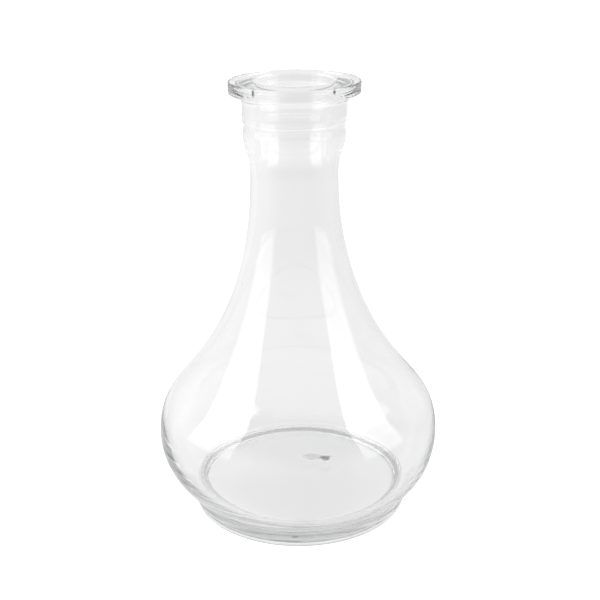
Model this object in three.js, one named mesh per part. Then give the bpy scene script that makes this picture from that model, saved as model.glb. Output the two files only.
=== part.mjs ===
// A teardrop-shaped vessel of clear glass, blown in a mould as one piece: a flat
// flange round the mouth, a thick stepped collar, a slim neck that flares into a
// wide belly, and a heavy base whose low foot is barely hollowed underneath.
//
// Millimetres, +Z up. The origin is the centre of the base, in the plane of the
// narrow flat ring that the foot stands on. The whole form is one profile, drawn
// as radius against height, and turned once about Z.

import * as THREE from "three";

// Overall height, and the mouth
const height = 260;
const mouthRadius = 22.1;
const lipRound = 1.2;
const boreTaper = 0.8;

// Flange round the mouth
const flangeReach = 7.4;
const flangeThickness = 7.3;
const flangeTopRound = 1;
const flangeUnderRound = 1.6;

// Collar under the flange, with a groove and a rounded bead below it
const collarWall = 7.7;
const collarDepth = 22;
const collarFilletReach = 3.6;
const collarFilletDepth = 7;
const grooveDepth = 1.3;
const grooveBelowCollar = 2.5;
const beadSetback = 0.4;
const beadBelowGroove = 5;

// Neck, narrowest at the waist
const waistDepth = 52;
const neckWall = 4.1;

// Shoulder, where the curve of the belly turns into the curve of the neck
const shoulderRadius = 64.9;
const shoulderHeight = 88.3;
const shoulderLean = -37.7;
const shoulderWall = 2.4;

// Belly at its widest
const bellyRadius = 85.2;
const bellyHeight = 47.2;
const bellyWall = 3.2;

// Foot, and the belly's wall just above it
const footRadius = 65.4;
const footHeight = 8.6;
const footEdgeRound = 1.4;
const creaseRound = 1.1;
const bellyLeanAtFoot = 45;
const wallAtFoot = 3.9;

// Base: a thick flat floor, and under it a hollow with a short step at its edge
const floorHeight = 12.8;
const floorCornerReach = 2.2;
const restingRing = 1.6;
const hollowStep = 1;
const hollowStepReach = 2.9;
const hollowStepRound = 2;
const hollowRise = 1.8;

// How far each end of a curve holds its direction, as a share of the curve's height
const bellyPullAtFoot = 0.15;
const bellyPullBelow = 0.59;
const bellyPullAbove = 0.48;
const shoulderPullBelow = 0.49;
const shoulderPullAbove = 0.13;
const waistPullBelow = 0.59;
const waistPullAbove = 0.5;
const beadPullBelow = 0.35;

// Facets round the axis, and along each kind of curve
const facetsRound = 60;
const neckSteps = 10;
const bellySteps = 6;
const tightSteps = 3;

// Sizes that follow from the ones above
const collarRadius = mouthRadius + collarWall;
const flangeRadius = collarRadius + flangeReach;
const beadRadius = collarRadius - beadSetback;
const grooveRadius = collarRadius - grooveDepth;
const waistBore = mouthRadius - boreTaper;
const hollowRadius = footRadius - footEdgeRound - restingRing;

// A point of the profile
function at(radius, z) {
  return new THREE.Vector2(radius, z);
}

// The point a given way along the straight line from one point to another
function towards(start, end, length) {
  return start.clone().lerp(end, length / start.distanceTo(end));
}

// A step up the profile that leans outwards from upright by so many degrees
function upwards(lean, length) {
  const angle = THREE.MathUtils.degToRad(lean);
  return at(Math.sin(angle) * length, Math.cos(angle) * length);
}

// A smooth curve up the profile with a lean and a pull at each end
function sweep(start, startLean, startPull, end, endLean, endPull) {
  const rise = end.y - start.y;
  const startHandle = start.clone().add(upwards(startLean, startPull * rise));
  const endHandle = end.clone().sub(upwards(endLean, endPull * rise));
  return new THREE.CubicBezierCurve(start, startHandle, endHandle, end);
}

// A rounded corner, drawn from one side to the other past the sharp corner
function corner(start, sharp, end) {
  return new THREE.QuadraticBezierCurve(start, sharp, end);
}

// The curves that carry the outside from the foot up to the bead
const bellyStart = at(footRadius, footHeight).add(upwards(bellyLeanAtFoot, creaseRound));
const widest = at(bellyRadius, bellyHeight);
const shoulder = at(shoulderRadius, shoulderHeight);
const waist = at(waistBore + neckWall, height - waistDepth);
const groove = at(grooveRadius, height - collarDepth - grooveBelowCollar);
const bead = at(beadRadius, groove.y - beadBelowGroove);

const lowerBelly = sweep(bellyStart, bellyLeanAtFoot, bellyPullAtFoot, widest, 0, bellyPullBelow);
const upperBelly = sweep(widest, 0, bellyPullAbove, shoulder, shoulderLean, shoulderPullBelow);
const neck = sweep(shoulder, shoulderLean, shoulderPullAbove, waist, 0, waistPullBelow);
const neckFlare = sweep(waist, 0, waistPullAbove, bead, 0, beadPullBelow);

// The inside of a curve, from its top down. The wall is measured square to the
// outside and changes smoothly between its thickness at the top and at the bottom
function insideOf(curve, steps, wallAtTop, wallAtBottom) {
  const points = [];
  for (let step = steps; step >= 0; step -= 1) {
    const along = step / steps;
    const share = THREE.MathUtils.smoothstep(along, 0, 1);
    const wall = THREE.MathUtils.lerp(wallAtBottom, wallAtTop, share);
    const direction = curve.getTangent(along);
    points.push(curve.getPoint(along).add(at(-direction.y * wall, direction.x * wall)));
  }
  return points;
}

// The hollow under the base, the flat ring it stands on and the foot's side
function footOutside() {
  const middle = at(0, hollowRise);
  const step = at(hollowRadius - hollowStepReach, hollowStep);
  const ring = at(hollowRadius, 0);
  const roundOfStep = corner(
    towards(step, middle, hollowStepRound),
    step,
    towards(step, ring, hollowStepRound)
  );
  const edge = corner(
    at(footRadius - footEdgeRound, 0),
    at(footRadius, 0),
    at(footRadius, footEdgeRound)
  );
  const crease = corner(at(footRadius, footHeight - creaseRound), at(footRadius, footHeight), bellyStart);
  return [
    middle,
    ...roundOfStep.getPoints(tightSteps),
    ring,
    ...edge.getPoints(tightSteps),
    ...crease.getPoints(tightSteps)
  ];
}

// The teardrop, from the crease above the foot to the narrow waist of the neck
function bodyOutside() {
  return [
    ...lowerBelly.getPoints(bellySteps),
    ...upperBelly.getPoints(bellySteps),
    ...neck.getPoints(neckSteps)
  ];
}

// The bead, the groove above it, the collar and the fillet that carries the flange
function collarOutside() {
  const collarFoot = at(collarRadius, height - collarDepth);
  const flangeRoot = at(collarRadius + collarFilletReach, height - flangeThickness);
  const roundOfBead = corner(bead, at(beadRadius, (bead.y + groove.y) / 2), groove);
  const fillet = corner(
    at(collarRadius, flangeRoot.y - collarFilletDepth),
    at(collarRadius, flangeRoot.y),
    flangeRoot
  );
  return [
    ...neckFlare.getPoints(bellySteps),
    ...roundOfBead.getPoints(tightSteps),
    collarFoot,
    ...fillet.getPoints(tightSteps)
  ];
}

// The flange's rounded edge and flat top, and the lip of the mouth
function mouthOutside() {
  const underside = height - flangeThickness;
  const underEdge = corner(
    at(flangeRadius - flangeUnderRound, underside),
    at(flangeRadius, underside),
    at(flangeRadius, underside + flangeUnderRound)
  );
  const topEdge = corner(
    at(flangeRadius, height - flangeTopRound),
    at(flangeRadius, height),
    at(flangeRadius - flangeTopRound, height)
  );
  const lip = corner(
    at(mouthRadius + lipRound, height),
    at(mouthRadius, height),
    at(mouthRadius, height - lipRound)
  );
  return [
    ...underEdge.getPoints(tightSteps),
    ...topEdge.getPoints(tightSteps),
    ...lip.getPoints(tightSteps)
  ];
}

// The bore runs straight to the waist, and the inside then follows the body at
// its own thickness, down to the rounded corner of the floor
function inside() {
  const wall = [
    ...insideOf(neck, neckSteps, neckWall, shoulderWall),
    ...insideOf(upperBelly, bellySteps, shoulderWall, bellyWall),
    ...insideOf(lowerBelly, bellySteps, bellyWall, wallAtFoot)
  ];
  const wallFoot = wall.at(-1);
  const rise = floorHeight - wallFoot.y;
  const lean = THREE.MathUtils.degToRad(bellyLeanAtFoot);
  const sharp = wallFoot.clone().add(upwards(bellyLeanAtFoot, rise / Math.cos(lean)));
  const cornerTop = sharp.clone().add(upwards(bellyLeanAtFoot, floorCornerReach));
  const cornerFoot = at(sharp.x - floorCornerReach, floorHeight);
  return [
    ...wall.filter((point) => point.y > cornerTop.y),
    ...corner(cornerTop, sharp, cornerFoot).getPoints(tightSteps),
    at(0, floorHeight)
  ];
}

// The closed profile, without the points that two neighbouring curves share
function profile() {
  const points = [
    ...footOutside(),
    ...bodyOutside(),
    ...collarOutside(),
    ...mouthOutside(),
    ...inside()
  ];
  const smallest = 0.01;
  return points.filter((point, index) => index === 0 || point.distanceTo(points[index - 1]) > smallest);
}

function clearGlass() {
  return new THREE.MeshStandardMaterial({
    color: 0xf2f5f4,
    roughness: 0.03,
    metalness: 0,
    transparent: true,
    opacity: 0.35
  });
}

// The lathe turns about Y, so the turned form is stood up on Z
function glassVessel() {
  const turned = new THREE.LatheGeometry(profile(), facetsRound);
  turned.rotateX(Math.PI / 2);
  const vessel = new THREE.Mesh(turned, clearGlass());
  vessel.name = "glass_vessel";
  return vessel;
}

const part = new THREE.Group();
part.add(glassVessel());

export default part;
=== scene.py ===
import math

import bmesh
import bpy
from mathutils import Matrix, Vector, noise
from mathutils.geometry import interpolate_bezier


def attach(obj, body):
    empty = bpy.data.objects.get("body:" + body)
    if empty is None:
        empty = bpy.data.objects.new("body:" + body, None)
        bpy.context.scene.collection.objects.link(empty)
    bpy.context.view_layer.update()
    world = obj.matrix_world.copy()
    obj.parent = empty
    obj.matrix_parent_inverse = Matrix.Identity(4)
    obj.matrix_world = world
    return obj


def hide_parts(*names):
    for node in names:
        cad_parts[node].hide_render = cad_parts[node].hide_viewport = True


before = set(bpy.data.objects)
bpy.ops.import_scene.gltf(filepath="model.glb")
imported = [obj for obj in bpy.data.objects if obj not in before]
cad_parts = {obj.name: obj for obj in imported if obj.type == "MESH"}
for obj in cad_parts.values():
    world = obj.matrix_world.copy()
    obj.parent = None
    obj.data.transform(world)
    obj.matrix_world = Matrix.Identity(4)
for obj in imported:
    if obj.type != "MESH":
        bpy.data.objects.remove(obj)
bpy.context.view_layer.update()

mm = 0.001
bounces = 128  # light runs a long way inside thick glass
scene = bpy.context.scene
scene.view_settings.view_transform = "Standard"
scene.cycles.max_bounces = bounces
scene.cycles.glossy_bounces = bounces
scene.cycles.transmission_bounces = bounces


# Camera

cameraPlace = {
    "location": (0, -0.6092, 0.3616),
    "tiltDown": 20.873,  # degrees under the horizon
    "turn": -0.182,
    "roll": -0.53,
    "lens": 65.608,
    "sensor": 36,
    "clip": (0.01, 60),
}


def makeCamera(place):
    data = bpy.data.cameras.new("productCamera")
    data.sensor_width = place["sensor"]
    data.lens = place["lens"]
    data.clip_start, data.clip_end = place["clip"]
    camera = bpy.data.objects.new("productCamera", data)
    scene.collection.objects.link(camera)
    turn = Matrix.Rotation(math.radians(place["turn"]), 4, "Z")
    tilt = Matrix.Rotation(math.radians(90 - place["tiltDown"]), 4, "X")
    roll = Matrix.Rotation(math.radians(place["roll"]), 4, "Z")
    camera.matrix_world = Matrix.Translation(place["location"]) @ turn @ tilt @ roll
    scene.camera = camera


makeCamera(cameraPlace)
print("camera placed")


# Nodes

def emptyTree(owner):
    owner.use_nodes = True
    owner.node_tree.nodes.clear()
    return owner.node_tree


# each input is a number, a vector, a colour or another node's output
def addNode(tree, kind, inputs=None, **settings):
    node = tree.nodes.new(kind)
    for name, value in settings.items():
        setattr(node, name, value)
    for place, value in (inputs or {}).items():
        socket = node.inputs[place]
        if isinstance(value, bpy.types.NodeSocket):
            tree.links.new(value, socket)
        elif socket.type == "RGBA":
            socket.default_value = (*value, 1)
        else:
            socket.default_value = value
    return node


def mathNode(tree, operation, first, second):
    return addNode(tree, "ShaderNodeMath", {0: first, 1: second}, operation=operation).outputs[0]


def lengthNode(tree, vector):
    node = addNode(tree, "ShaderNodeVectorMath", {0: vector}, operation="LENGTH")
    return node.outputs["Value"]


# a smooth change from one result to the other across a span of the source
def rangeNode(tree, source, span, results):
    node = addNode(tree, "ShaderNodeMapRange", {"Value": source}, interpolation_type="SMOOTHSTEP")
    for name, value in zip(("From Min", "From Max", "To Min", "To Max"), (*span, *results)):
        node.inputs[name].default_value = value
    return node.outputs["Result"]


def noiseNode(tree, place, scale, detail, stretch=(1, 1, 1)):
    mapping = addNode(tree, "ShaderNodeMapping", {"Vector": place, "Scale": stretch})
    inputs = {"Vector": mapping.outputs[0], "Scale": scale, "Detail": detail}
    return addNode(tree, "ShaderNodeTexNoise", inputs).outputs["Fac"]


def greyRamp(tree, source, stops):
    node = addNode(tree, "ShaderNodeValToRGB", {0: source})
    elements = node.color_ramp.elements
    elements.remove(elements[-1])
    for count, (place, grey) in enumerate(stops):
        element = elements[0] if count == 0 else elements.new(place)
        element.position = place
        element.color = (grey, grey, grey, 1)
    return node.outputs[0]


def mixColours(tree, factor, first, second, blend="MIX"):
    inputs = {"Factor": factor, 6: first, 7: second}
    return addNode(tree, "ShaderNodeMix", inputs, data_type="RGBA", blend_type=blend).outputs[2]


def mixShaders(tree, factor, first, second):
    inputs = {0: factor, 1: first.outputs[0], 2: second.outputs[0]}
    return addNode(tree, "ShaderNodeMixShader", inputs).outputs[0]


# Studio: pale floor, white surroundings, two upright softboxes

studio = {
    "floorRadius": 8,
    "floorSides": 64,
    "floorGlow": 0.9,
    "floorColour": (0.82, 0.82, 0.82),
    "fill": 0.55,
    # the room's lightness at a few elevations (given as sines), each round the compass:
    # 0 is straight behind the vase, left is negative
    "room": [
        (-0.54, [
            (-180, 0.92), (-60, 0.96), (-9, 0.88), (-4, 0.82),
            (4, 0.82), (9, 0.87), (60, 0.88), (180, 0.92),
        ]),
        (-0.5, [
            (-180, 0.92), (-60, 0.98), (-9, 0.94), (-4, 0.87), (-1, 0.83),
            (4, 0.83), (9, 0.87), (60, 0.88), (180, 0.92),
        ]),
        (-0.475, [
            (-180, 0.92), (-60, 0.98), (-9, 0.98), (-4, 0.79),
            (4, 0.77), (9, 0.84), (60, 0.88), (180, 0.92),
        ]),
        (-0.463, [
            (-180, 0.92), (-60, 0.98), (-9, 0.98), (-4, 0.88),
            (4, 0.88), (9, 0.86), (60, 0.88), (180, 0.92),
        ]),
        (-0.4, [
            (-180, 0.92), (-60, 0.98), (-9, 0.99), (-4, 0.91),
            (4, 0.9), (9, 0.9), (60, 0.88), (180, 0.92),
        ]),
        (-0.27, [
            (-180, 0.92), (-60, 0.98), (-9, 0.91), (-3, 0.84),
            (4, 0.82), (9, 0.84), (60, 0.88), (180, 0.92),
        ]),
        (-0.2, [
            (-180, 0.92), (-60, 0.98), (-9, 0.91), (-3, 0.81),
            (4, 0.79), (9, 0.84), (60, 0.87), (180, 0.92),
        ]),
        (-0.12, [
            (-180, 0.92), (-60, 0.97), (-9, 0.93), (0, 0.83),
            (9, 0.84), (60, 0.86), (180, 0.92),
        ]),
        (0.1, [(-180, 0.95), (-60, 1.05), (0, 0.95), (60, 0.95), (180, 0.95)]),
    ],
    # the foot shades the floor that it stands on: radius in mm and lightness
    "contactShade": [(59.5, 1), (63, 0.71), (67.5, 0.71), (71.5, 1)],
    "shadeReach": 200,  # mm, beyond the shade's last edge
    "mirroredShade": 0.2,  # how much of the shade the glass mirrors
}
# each box is dimmer towards its foot: the edges of its bands, upwards, and each band's radiance
softboxes = {
    "left": {
        "azimuth": -74,
        "distance": 0.95,
        "width": 0.72,
        "bandEdges": (0.105, 0.2, 0.3, 0.45, 0.7, 1.25),
        "radiance": (1.2, 1.3, 1.6, 2, 2.4),
    },
    "right": {
        "azimuth": 70,
        "distance": 0.95,
        "width": 0.66,
        "bandEdges": (0.105, 0.2, 0.3, 0.45, 0.7, 1.25),
        "radiance": (1.1, 1.1, 1.4, 1.9, 2.4),
    },
}


# seen directly it is glowing paper; in the glass it is clear, apart from the foot's shade
def floorPaper(values):
    material = bpy.data.materials.new("paleFloor")
    tree = emptyTree(material)
    path = addNode(tree, "ShaderNodeLightPath").outputs
    glow = addNode(tree, "ShaderNodeEmission", {"Strength": values["floorGlow"]})
    paper = addNode(tree, "ShaderNodeBsdfDiffuse", {"Color": values["floorColour"]})
    lit = addNode(tree, "ShaderNodeAddShader", {0: glow.outputs[0], 1: paper.outputs[0]})
    place = addNode(tree, "ShaderNodeTexCoord").outputs["Object"]
    share = mathNode(tree, "DIVIDE", lengthNode(tree, place), values["shadeReach"] * mm)
    stops = [(edge / values["shadeReach"], grey) for edge, grey in values["contactShade"]]
    shade = greyRamp(tree, share, stops)
    direct = mathNode(tree, "LESS_THAN", path["Glossy Depth"], 1)
    seenShade = mathNode(tree, "MAXIMUM", direct, values["mirroredShade"])
    tint = mixColours(tree, seenShade, (1, 1, 1), shade)
    clear = addNode(tree, "ShaderNodeBsdfTransparent", {"Color": tint})
    inGlass = mathNode(tree, "MAXIMUM", path["Is Glossy Ray"], path["Is Transmission Ray"])
    surface = mixShaders(tree, inGlass, lit, clear)
    addNode(tree, "ShaderNodeOutputMaterial", {"Surface": surface})
    return material


def makeFloor(values):
    bm = bmesh.new()
    sides, radius = values["floorSides"], values["floorRadius"]
    bmesh.ops.create_circle(bm, cap_ends=True, segments=sides, radius=radius)
    mesh = bpy.data.meshes.new("paleFloor")
    bm.to_mesh(mesh)
    bm.free()
    mesh.materials.append(floorPaper(values))
    floor = bpy.data.objects.new("paleFloor", mesh)
    scene.collection.objects.link(floor)


def makeWorld(values):
    world = bpy.data.worlds.new("studioRoom")
    scene.world = world
    tree = emptyTree(world)
    path = addNode(tree, "ShaderNodeLightPath").outputs
    direction = addNode(tree, "ShaderNodeTexCoord").outputs["Generated"]
    axes = addNode(tree, "ShaderNodeSeparateXYZ", {0: direction}).outputs
    compass = mathNode(tree, "ARCTAN2", axes["X"], axes["Y"])
    place = mathNode(tree, "ADD", mathNode(tree, "MULTIPLY", compass, 1 / (2 * math.pi)), 0.5)
    rings = []
    for level, stops in values["room"]:
        ring = greyRamp(tree, place, [(0.5 + turn / 360, grey) for turn, grey in stops])
        rings.append((level, ring))
    last, seen = rings[0]
    for level, ring in rings[1:]:
        climbed = mathNode(tree, "SUBTRACT", axes["Z"], last)
        seen = mixColours(tree, mathNode(tree, "DIVIDE", climbed, level - last), seen, ring)
        last = level
    notGlass = mathNode(tree, "MAXIMUM", path["Is Camera Ray"], path["Is Diffuse Ray"])
    plain = mixColours(tree, path["Is Camera Ray"], (values["fill"],) * 3, (1, 1, 1))
    shown = mixColours(tree, notGlass, seen, plain)
    background = addNode(tree, "ShaderNodeBackground", {"Color": shown})
    addNode(tree, "ShaderNodeOutputWorld", {"Surface": background.outputs[0]})


def makeLight(name, values, bottom, top, radiance):
    height = top - bottom
    data = bpy.data.lights.new(name, "AREA")
    data.shape = "RECTANGLE"
    data.size = values["width"]
    data.size_y = height
    data.energy = radiance * math.pi * values["width"] * height
    light = bpy.data.objects.new(name, data)
    scene.collection.objects.link(light)
    turn = math.radians(values["azimuth"])
    place = Vector((math.sin(turn), -math.cos(turn), 0)) * values["distance"]
    place.z = bottom + height / 2
    facing = Vector((-place.x, -place.y, 0)).to_track_quat("-Z", "Y")
    light.matrix_world = Matrix.Translation(place) @ facing.to_matrix().to_4x4()
    light.visible_camera = False


def makeSoftbox(name, values):
    edges = values["bandEdges"]
    for count, radiance in enumerate(values["radiance"]):
        makeLight(f"{name}{count}", values, edges[count], edges[count + 1], radiance)


makeFloor(studio)
makeWorld(studio)
for side, values in softboxes.items():
    makeSoftbox(f"{side}Softbox", values)
print("studio ready")


# Vase

vase = {
    "steps": 200,
    "height": 260,
    "mouthRadius": 22.5,
    "lipRound": 1.5,
    # height and radius
    "bore": [(208, 21.5), (214, 21.5), (226, 22.4), (233, 22.05), (250, 22.3), (258.5, 22.5)],
    "flangeReach": 7.4,
    "flangeThickness": 7.3,
    "flangeTopRound": 1.0,
    "flangeUnderRound": 1.6,
    "collarRadius": 29.8,
    "collarDepth": 22,
    "collarBevel": (0.25, 0.3),
    "filletReach": 3.6,
    "filletDepth": 7,
    "grooveDepth": 1.3,
    "grooveBelowCollar": 2.5,
    "beadSetback": 0.4,
    "beadBelowGroove": 5,
    "waistDepth": 52,
    "neckRadius": 25.4,
    "shoulder": (64.9, 88.3),
    "shoulderLean": -37.7,
    "belly": (85.2, 47.2),
    "foot": (65.4, 9.1),
    "footSpread": 0.5,
    "footEdgeRound": 2.6,
    "creaseRound": 0.8,
    "leanAtFoot": 45.2,
    "floorHeight": 13.1,
    "floorDome": 0.5,
    "floorRound": 2.0,
    "hollow": [(0, 1.8), (60, 1.1), (62.5, 0)],  # under the base, radius and height
    "hollowRound": 1,
    # blown glass is never even: height, then the wall's thickness at the left and the right
    "walls": [
        (8, 5.7, 3.1),
        (18, 5.2, 3.3),
        (28, 4.6, 3.2),
        (38, 3.95, 3.1),
        (48, 3.45, 2.9),
        (60, 3.0, 2.75),
        (75, 2.75, 2.6),
        (92, 2.7, 2.5),
        (112, 2.8, 2.9),
        (145, 2.9, 2.9),
        (170, 4.0, 4.0),
        (190, 4.2, 4.2),
        (208, 3.9, 3.9),
    ],
    # height, and how far the axis strays to the right there
    "axis": [
        (0, 1), (14, 1), (38, 0.1), (45, 0), (90, 0),
        (130, -0.1), (187, -0.7), (232, -0.4), (250, 0),
    ],
    "waveLength": 36,
    "waveDepth": 0.11,
    "waveMiddle": 0.6,  # share of the depth where the noise is 0
    "waveSwing": 0.5,
    "waveStretch": 0.6,  # drawn out along the axis
    "calmAtFoot": 60,
    "calmAtRim": 14,
    # the wall's curves: how firmly each keeps its direction at its two ends, and its points
    "lowerCurve": (0.15, 0.59, 30),
    "upperCurve": (0.48, 0.49, 30),
    "neckCurve": (0.13, 0.59, 60),
    "flareCurve": (0.5, 0.35, 16),
    # straight runs between rounded parts: the gap left at each end, and the points
    "footRing": (0.2, 0.2, 3),
    "footSide": (0.3, 0.3, 5),
    "collarSide": (1, 0.4, 5),
    "flangeUnder": (0.3, 0.2, 3),
    "flangeSide": (0.25, 0.25, 4),
    "flangeTop": (0.25, 0.25, 8),
    # points elsewhere
    "creasePoints": 7,
    "cornerPoints": 8,
    "filletPoints": 12,
    "hollowPoints": 24,
    "hollowEdgePoints": 3,
    "borePoints": 40,
    "floorPoints": 40,
}


def upwards(lean, length):
    turn = math.radians(lean)
    return Vector((math.sin(turn) * length, math.cos(turn) * length))


def sweep(start, startLean, end, endLean, curve):
    startPull, endPull, count = curve
    rise = end.y - start.y
    first = start + upwards(startLean, startPull * rise)
    second = end - upwards(endLean, endPull * rise)
    return [Vector(point) for point in interpolate_bezier(start, first, second, end, count)]


def corner(start, tip, end, count):
    first = start.lerp(tip, 2 / 3)
    second = end.lerp(tip, 2 / 3)
    return [Vector(point) for point in interpolate_bezier(start, first, second, end, count)]


# the corner at a tip, rounded as far as reach along both its sides
def rounded(before, tip, after, reach, count):
    start = tip + (before - tip).normalized() * reach
    end = tip + (after - tip).normalized() * reach
    return corner(start, tip, end, count)


def straight(start, end, count):
    return [start.lerp(end, number / (count - 1)) for number in range(count)]


def gapped(start, end, run):
    startGap, endGap, count = run
    along = (end - start).normalized()
    return straight(start + along * startGap, end - along * endGap, count)


# the smooth curve through a table's rows
def tableAt(table, height, column=1):
    last = len(table) - 1
    number = sum(row[0] < height for row in table[1:-1])
    slopes = []
    for here in (number, number + 1):
        low, high = table[max(here - 1, 0)], table[min(here + 1, last)]
        slopes.append((high[column] - low[column]) / (high[0] - low[0]))
    start, end = table[number], table[number + 1]
    step = end[0] - start[0]
    share = min(max((height - start[0]) / step, 0), 1)
    first = (1 - share) ** 2 * ((1 + 2 * share) * start[column] + share * step * slopes[0])
    second = share * share * ((3 - 2 * share) * end[column] - (1 - share) * step * slopes[1])
    return first + second


# the inner side of a stretch of wall, from its end back to its start
def insideOf(points, walls):
    found = []
    last = len(points) - 1
    for number, point in enumerate(points):
        along = points[min(number + 1, last)] - points[max(number - 1, 0)]
        along.normalize()
        wall = (tableAt(walls, point.y, 1) + tableAt(walls, point.y, 2)) / 2
        found.append(point + Vector((-along.y, along.x)) * wall)
    return found[::-1]


# from a start to the axis, rising by dome there
def domedLine(start, dome, count):
    line = straight(start, Vector((0, start.y)), count)
    return [Vector((point.x, point.y + dome * (1 - (point.x / start.x) ** 2))) for point in line]


# the hollow under the base, the foot and the crease above it, from the axis outwards
def footLine(size, bellyStart):
    middle, brink, ring = [Vector(point) for point in size["hollow"]]
    foot = Vector(size["foot"])
    base = Vector((foot.x + size["footSpread"], 0))
    brinkTurn = rounded(middle, brink, ring, size["hollowRound"], size["creasePoints"])
    edge = rounded(ring, base, foot, size["footEdgeRound"], size["cornerPoints"])
    creaseStart = foot + (base - foot).normalized() * size["creaseRound"]
    return [
        *straight(middle, brinkTurn[0], size["hollowPoints"]),
        *brinkTurn[1:],
        *straight(brinkTurn[-1], ring, size["hollowEdgePoints"])[1:],
        *gapped(ring, edge[0], size["footRing"]),
        *edge,
        *gapped(edge[-1], creaseStart, size["footSide"]),
        *corner(creaseStart, foot, bellyStart, size["creasePoints"]),
    ]


# the groove, the collar, the flange and the lip, upwards from the bead
def mouthLine(size, bead, groove):
    top = size["height"]
    collar = size["collarRadius"]
    collarFoot = top - size["collarDepth"]
    under = top - size["flangeThickness"]
    bevelIn, bevelUp = size["collarBevel"]
    corners = size["cornerPoints"]
    filletEnd = Vector((collar + size["filletReach"], under))
    underTip = Vector((collar + size["flangeReach"], under))
    topTip = Vector((underTip.x, top))
    mouthTip = Vector((size["mouthRadius"], top))
    boreTop = Vector((size["mouthRadius"], under))
    filletStart = Vector((collar, under - size["filletDepth"]))
    fillet = corner(filletStart, Vector((collar, under)), filletEnd, size["filletPoints"])
    underTurn = rounded(filletEnd, underTip, topTip, size["flangeUnderRound"], corners)
    topTurn = rounded(underTip, topTip, mouthTip, size["flangeTopRound"], corners)
    lip = rounded(topTip, mouthTip, boreTop, size["lipRound"], corners)
    return [
        *corner(bead, Vector((bead.x, (bead.y + groove.y) / 2)), groove, corners),
        Vector((collar - bevelIn, collarFoot - bevelUp)),
        Vector((collar, collarFoot + bevelUp)),
        *gapped(Vector((collar, collarFoot)), filletStart, size["collarSide"]),
        *fillet,
        *gapped(filletEnd, underTurn[0], size["flangeUnder"]),
        *underTurn,
        *gapped(underTurn[-1], topTurn[0], size["flangeSide"]),
        *topTurn,
        *gapped(topTurn[-1], lip[0], size["flangeTop"]),
        *lip,
    ]


def vaseProfiles(size):
    top = size["height"]
    collar = size["collarRadius"]
    footLean, shoulderLean = size["leanAtFoot"], size["shoulderLean"]
    belly = Vector(size["belly"])
    shoulder = Vector(size["shoulder"])
    bellyStart = Vector(size["foot"]) + upwards(footLean, size["creaseRound"])
    waist = Vector((size["neckRadius"], top - size["waistDepth"]))
    grooveHeight = top - size["collarDepth"] - size["grooveBelowCollar"]
    groove = Vector((collar - size["grooveDepth"], grooveHeight))
    bead = Vector((collar - size["beadSetback"], groove.y - size["beadBelowGroove"]))
    lower = sweep(bellyStart, footLean, belly, 0, size["lowerCurve"])
    upper = sweep(belly, 0, shoulder, shoulderLean, size["upperCurve"])
    neck = sweep(shoulder, shoulderLean, waist, 0, size["neckCurve"])
    flare = sweep(waist, 0, bead, 0, size["flareCurve"])
    outer = footLine(size, bellyStart)
    for part in (lower, upper, neck, flare, mouthLine(size, bead, groove)):
        outer += part[1:]

    wall = insideOf(neck, size["walls"])
    for part in (upper, lower):
        wall += insideOf(part, size["walls"])[1:]
    drop = (wall[-1].y - size["floorHeight"]) / math.cos(math.radians(footLean))
    bend = wall[-1] - upwards(footLean, drop)
    reach = size["floorRound"]
    wall = [point for point in wall if point.y > bend.y and (point - bend).length > reach]
    floorStart = bend - Vector((reach, 0))
    boreLine = straight(outer[-1], wall[0], size["borePoints"])[:-1]
    inner = [
        *[Vector((tableAt(size["bore"], point.y), point.y)) for point in boreLine],
        *wall,
        *corner(wall[-1], bend, floorStart, size["filletPoints"])[1:],
        *domedLine(floorStart, size["floorDome"], size["floorPoints"])[1:],
    ]
    return outer, inner


def spinProfile(bm, profile, steps):
    before = set(bm.verts)
    verts = [bm.verts.new((point.x * mm, 0, point.y * mm)) for point in profile]
    edges = [bm.edges.new(pair) for pair in zip(verts, verts[1:])]
    bmesh.ops.spin(
        bm, geom=verts + edges, cent=(0, 0, 0), axis=(0, 0, 1),
        angle=2 * math.pi, steps=steps, use_merge=True,
    )
    return [vert for vert in bm.verts if vert not in before]


def finishPiece(name, bm, material):
    for face in bm.faces:
        face.smooth = True
    mesh = bpy.data.meshes.new(name)
    bm.to_mesh(mesh)
    bm.free()
    mesh.materials.append(material)
    piece = bpy.data.objects.new(name, mesh)
    scene.collection.objects.link(piece)
    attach(piece, "root")
    return piece


glass = {
    "clear": (0.998, 0.999, 0.998),
    "thick": (0.968, 0.974, 0.97),  # slightly greener, low down and in streaks
    "thickBelow": 0.02,
    "streakNoise": (22, 3, (1, 1, 0.3)),  # scale, detail, stretch
    "streakSpan": (0.35, 0.75),
    "streakStrength": 0.5,
    "wearAndPaintedShade": (0.48, 0.48, 0.47),  # the edge that it stands on: rougher from wear, and darker as painted contact shade
    "wearAndShadeHeights": (0.0005, 0.0034),
    "wearAndShadeBeyond": 0.0615,
    "wearAndShadeFade": 0.0045,
    "wornRoughness": 0.35,
    "mattBelow": 0.0092,  # the mould leaves the foot a little matt
    "mattFade": 0.001,
    "mattRoughness": 0.07,
    "roughness": (0.0, 0.012),  # between the smears and in them
    "smearNoise": (35, 4),
    "smearSpan": (0.5, 0.8),
    "grainNoise": (420, 2),
    "grainStrength": 0.02,
    "seeds": 70,
    "seedSize": 0.035,
    "seedStrength": 0.12,
    "reliefDepth": 0.001,
    "reliefStrength": 0.4,
    "ior": 1.51,
    "shadow": (0.935, 0.937, 0.936),
    "absorbColour": (0.68, 0.69, 0.685),
    "absorbDensity": 8.5,
}
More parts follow.
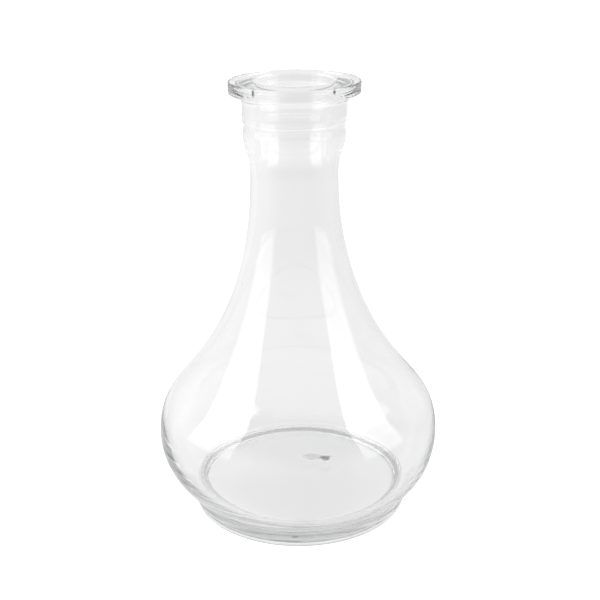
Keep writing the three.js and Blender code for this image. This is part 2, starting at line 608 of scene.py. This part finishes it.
# small dark faults left by the shears and the mould:
# centre and half lengths in mm, turn in degrees, shade at the core
faults = {
    "shearTail": {
        "centre": (9.5, 17, 13.4), "reach": (10.5, 6.4, 1.5), "turn": -6, "shade": 0.6,
    },
    "shearCore": {
        "centre": (17.6, 14.8, 13.4), "reach": (5.4, 5.2, 1.5), "turn": -24, "shade": 0.08,
    },
    "footSpeck": {
        "centre": (-2.2, -65.4, 7.2), "reach": (3.2, 3, 1.1), "turn": 0, "shade": 0.35,
    },
    "rimDash": {
        "centre": (-22.2, -29.9, 257.2), "reach": (1.35, 1.35, 3.5), "turn": 0, "shade": 0.04,
    },
    "rimDot": {
        "centre": (21.2, -30.6, 258.3), "reach": (1.25, 1.25, 1.7), "turn": 0, "shade": 0.04,
    },
}
faultEdge = {
    "noise": (420, 2),
    "raggedness": 0.8,
    "span": (0.75, 1.35),  # in half lengths from the centre, with the noise added
}


# 1 at the middle of a fault, 0 at its ragged edge
def faultMask(tree, place, fault, edge):
    centre, reach = Vector(fault["centre"]) * mm, Vector(fault["reach"]) * mm
    shift = addNode(tree, "ShaderNodeVectorMath", {0: place, 1: centre}, operation="SUBTRACT")
    inputs = {"Vector": shift.outputs[0], "Angle": -math.radians(fault["turn"])}
    turned = addNode(tree, "ShaderNodeVectorRotate", inputs, rotation_type="Z_AXIS")
    inputs = {0: turned.outputs[0], 1: reach}
    shares = addNode(tree, "ShaderNodeVectorMath", inputs, operation="DIVIDE")
    ragged = mathNode(tree, "MULTIPLY", noiseNode(tree, place, *edge["noise"]), edge["raggedness"])
    distance = mathNode(tree, "ADD", lengthNode(tree, shares.outputs[0]), ragged)
    return rangeNode(tree, distance, edge["span"], (1, 0))


def clearGlass(look, faults, edge):
    material = bpy.data.materials.new("clearGlass")
    tree = emptyTree(material)
    place = addNode(tree, "ShaderNodeTexCoord").outputs["Object"]
    height = addNode(tree, "ShaderNodeSeparateXYZ", {0: place}).outputs["Z"]
    fromOrigin = lengthNode(tree, place)

    low = rangeNode(tree, height, (0, look["thickBelow"]), (1, 0))
    streakNoise = noiseNode(tree, place, *look["streakNoise"])
    streaks = rangeNode(tree, streakNoise, look["streakSpan"], (0, look["streakStrength"]))
    thick = mathNode(tree, "MAXIMUM", low, streaks)
    colour = mixColours(tree, thick, look["clear"], look["thick"])
    # the edge that it stands on: rougher from wear, and its colour darkened as painted contact
    # shade
    wearAndShadeSpan = (look["wearAndShadeBeyond"], look["wearAndShadeBeyond"] + look["wearAndShadeFade"])
    outward = rangeNode(tree, fromOrigin, wearAndShadeSpan, (0, 1))
    standing = rangeNode(tree, height, look["wearAndShadeHeights"], (1, 0))
    wearAndPaintedShade = mathNode(tree, "MULTIPLY", outward, standing)
    colour = mixColours(tree, wearAndPaintedShade, colour, look["wearAndPaintedShade"], "MULTIPLY")
    masks = 0.0
    for fault in faults.values():
        mask = faultMask(tree, place, fault, edge)
        colour = mixColours(tree, mask, colour, (fault["shade"],) * 3, "MULTIPLY")
        masks = mathNode(tree, "MAXIMUM", mask, masks)

    smears = noiseNode(tree, place, *look["smearNoise"])
    rough = rangeNode(tree, smears, look["smearSpan"], look["roughness"])
    wornRough = mathNode(tree, "MULTIPLY", wearAndPaintedShade, look["wornRoughness"])
    rough = mathNode(tree, "ADD", rough, wornRough)
    mattSpan = (look["mattBelow"] - look["mattFade"], look["mattBelow"])
    matt = mathNode(tree, "MULTIPLY", outward, rangeNode(tree, height, mattSpan, (1, 0)))
    mattRough = mathNode(tree, "MULTIPLY", matt, look["mattRoughness"])
    rough = mathNode(tree, "ADD", rough, mattRough)

    inputs = {"Vector": place, "Scale": look["seeds"]}
    cells = addNode(tree, "ShaderNodeTexVoronoi", inputs, feature="F1").outputs["Distance"]
    seeds = rangeNode(tree, cells, (0, look["seedSize"]), (look["seedStrength"], 0))
    grainNoise = noiseNode(tree, place, *look["grainNoise"])
    grain = mathNode(tree, "MULTIPLY", grainNoise, look["grainStrength"])
    relief = mathNode(tree, "ADD", mathNode(tree, "ADD", seeds, grain), masks)
    bump = addNode(tree, "ShaderNodeBump", {
        "Distance": look["reliefDepth"],
        "Strength": look["reliefStrength"],
        "Height": relief,
    })

    body = addNode(tree, "ShaderNodeBsdfPrincipled", {
        "IOR": look["ior"],
        "Transmission Weight": 1,
        "Base Color": colour,
        "Roughness": rough,
        "Normal": bump.outputs[0],
    })
    shadow = addNode(tree, "ShaderNodeBsdfTransparent", {"Color": look["shadow"]})
    absorb = addNode(tree, "ShaderNodeVolumeAbsorption", {
        "Color": look["absorbColour"],
        "Density": look["absorbDensity"],
    })
    isShadow = addNode(tree, "ShaderNodeLightPath").outputs["Is Shadow Ray"]
    addNode(tree, "ShaderNodeOutputMaterial", {
        "Surface": mixShaders(tree, isShadow, body, shadow),
        "Volume": absorb.outputs[0],
    })
    return material


# shallow waves, always into the glass, none at the very foot and rim
def waveSurface(bm, size):
    bm.normal_update()
    for vert in bm.verts:
        x, y, z = vert.co / mm
        place = Vector((x, y, z * size["waveStretch"])) / size["waveLength"]
        calm = min(z / size["calmAtFoot"], (size["height"] - z) / size["calmAtRim"], 1)
        share = size["waveMiddle"] + size["waveSwing"] * noise.noise(place)
        depth = share * calm * size["waveDepth"]
        vert.co -= vert.normal * depth * mm


def makeVase(size):
    outer, inner = vaseProfiles(size)
    bm = bmesh.new()
    for vert in spinProfile(bm, outer, size["steps"]):
        vert.co.x += tableAt(size["axis"], vert.co.z / mm) * mm
    for vert in spinProfile(bm, inner, size["steps"]):
        height = vert.co.z / mm
        thicker = tableAt(size["walls"], height, 1) - tableAt(size["walls"], height, 2)
        vert.co.x += (tableAt(size["axis"], height) + thicker / 2) * mm
    bmesh.ops.remove_doubles(bm, verts=bm.verts, dist=mm / 1000)
    bmesh.ops.recalc_face_normals(bm, faces=bm.faces)
    waveSurface(bm, size)
    piece = finishPiece("glassVase", bm, clearGlass(glass, faults, faultEdge))
    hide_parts("glass_vessel")
    return piece


vasePiece = makeVase(vase)
print("vase made,", len(vasePiece.data.polygons), "faces")
